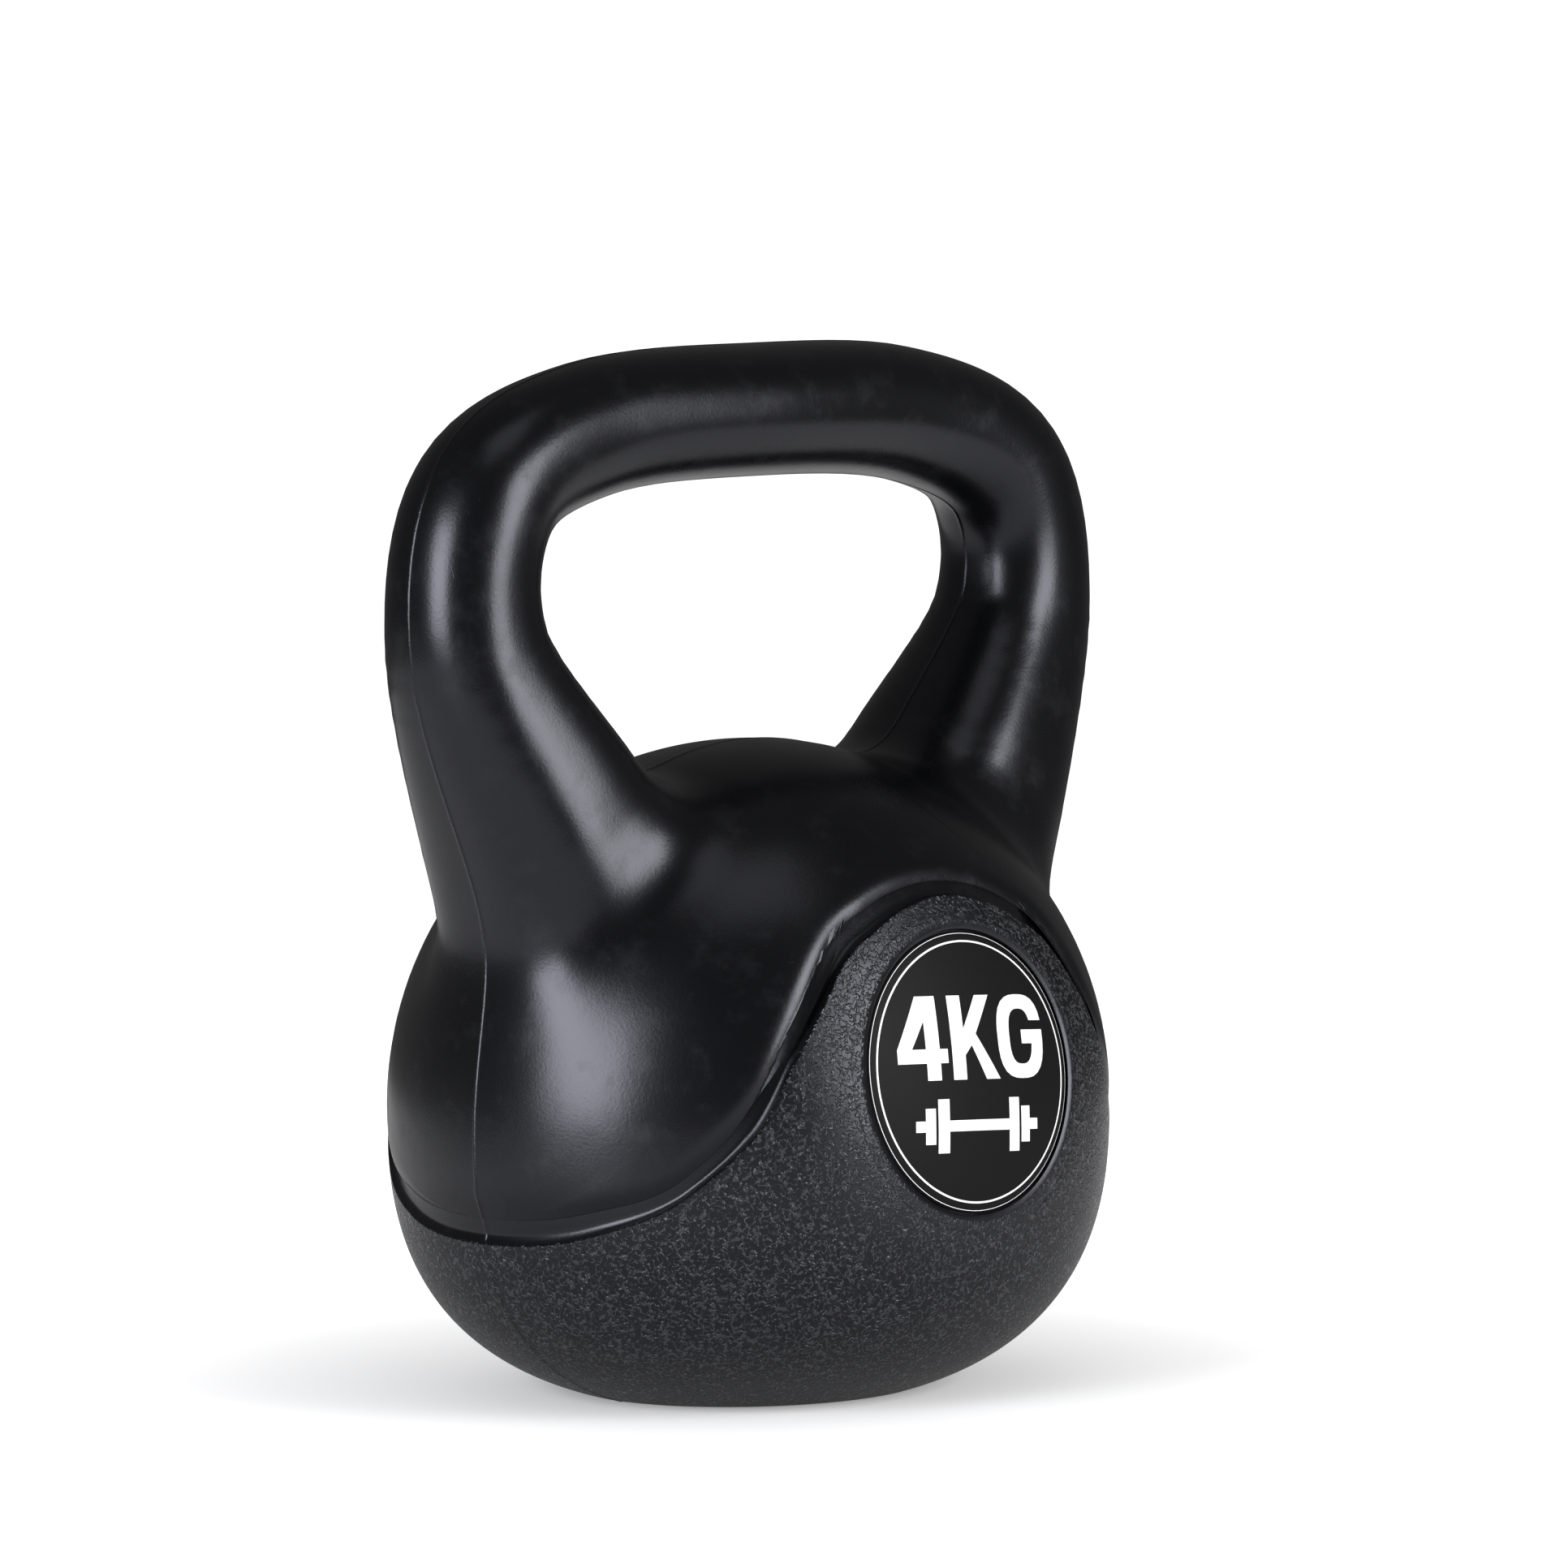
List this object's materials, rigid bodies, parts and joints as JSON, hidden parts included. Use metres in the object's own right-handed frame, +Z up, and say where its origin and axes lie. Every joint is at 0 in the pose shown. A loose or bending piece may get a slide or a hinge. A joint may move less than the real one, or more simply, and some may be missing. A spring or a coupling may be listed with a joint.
{
  "type": "kettlebell",
  "caption": "Small kettlebell with a moulded plastic skin over a concrete filling, a wide closed loop handle, a leather-grained bowl and a flat base.",
  "frame": {"origin": "on the floor under the middle of the bowl, which is the bottom centre of the bounding box", "axes": "+Z up; X along the grip, from leg to leg; Y from front to rear, the front face looking along -Y"},
  "size_m": [0.1892, 0.135, 0.2142],
  "materials": {
    "skin": "satin black polyethylene, fine orange peel above, leather grain on the bowl",
    "filling": "set cement mortar, hidden",
    "plug": "moulded black polyethylene",
    "badge": "gloss black film with a plain white ring and weight mark"
  },
  "bodies": {
    "root": {"shell": "skin", "concrete_fill": "filling", "fill_plug": "plug", "front_badge": "badge", "rear_badge": "badge"}
  },
  "joints": []
}
